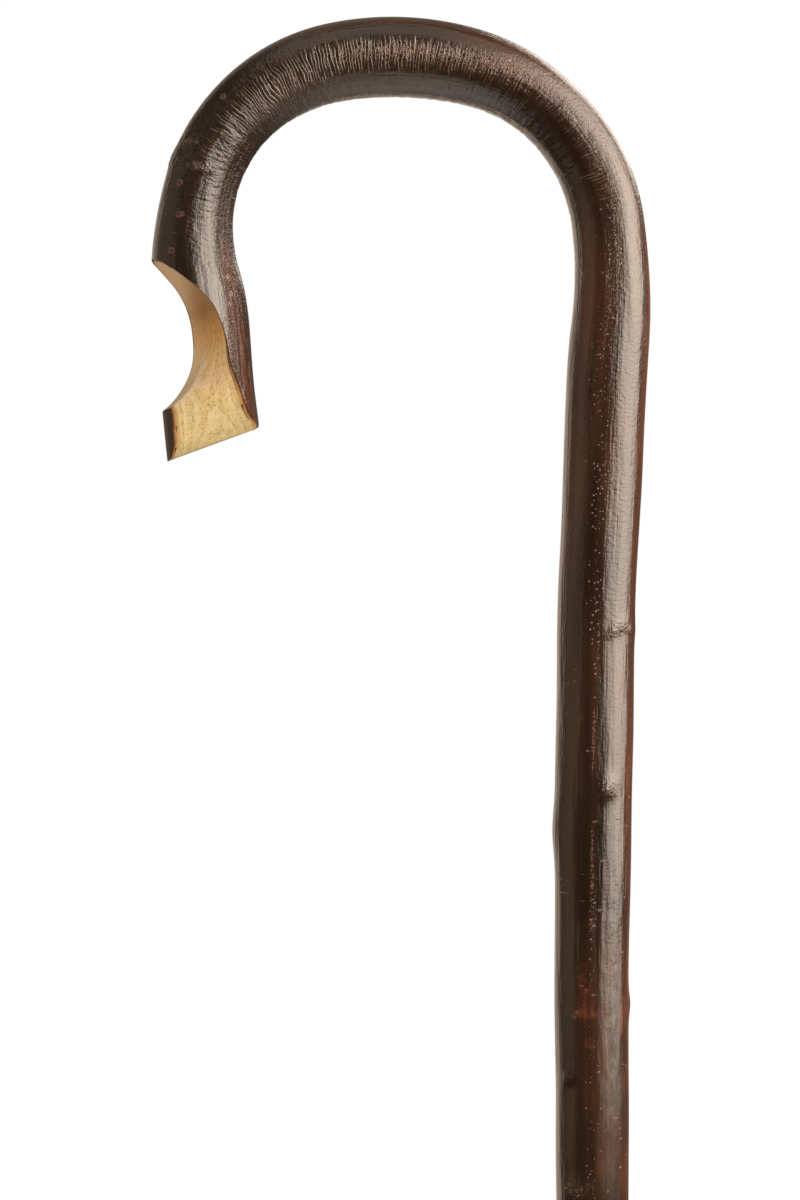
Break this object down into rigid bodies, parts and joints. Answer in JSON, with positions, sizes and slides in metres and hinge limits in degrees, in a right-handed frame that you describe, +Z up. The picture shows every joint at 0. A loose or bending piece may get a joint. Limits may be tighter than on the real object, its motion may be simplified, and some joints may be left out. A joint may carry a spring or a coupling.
{
  "type": "shepherd crook",
  "caption": "Full-length bark-on chestnut shepherd crook with a wide bent hook, a scooped nose and a spiked ferrule under a pull-off rubber foot.",
  "frame": {"origin": "centre of the rubber foot's flat base, where the crook meets the ground", "axes": "+Z up the shank, the hook in the XZ plane with its nose towards -X, the pictured side towards -Y"},
  "size_m": [0.1681, 0.032, 1.2184],
  "materials": {
    "chestnut_wood": "cut chestnut, sanded and varnished",
    "varnished_bark": "smooth dark chestnut bark, scorched in bending and varnished",
    "plated_steel": "zinc-plated pressed steel",
    "hardened_steel": "turned and hardened steel",
    "brad_steel": "bright wire steel",
    "black_rubber": "moulded matt rubber",
    "washer_steel": "stamped plated steel"
  },
  "bodies": {
    "crook": {"chestnut_rod": "chestnut_wood", "bark": "varnished_bark", "ferrule_cup": "plated_steel", "spike": "hardened_steel", "ferrule_brads": "brad_steel"},
    "foot": {"rubber_foot": "black_rubber", "foot_washer": "washer_steel"}
  },
  "joints": [
    {"name": "foot_pull", "type": "slide", "parent": "crook", "child": "foot", "axis": [0, 0, -1], "range_m": [0, 0.045]}
  ]
}
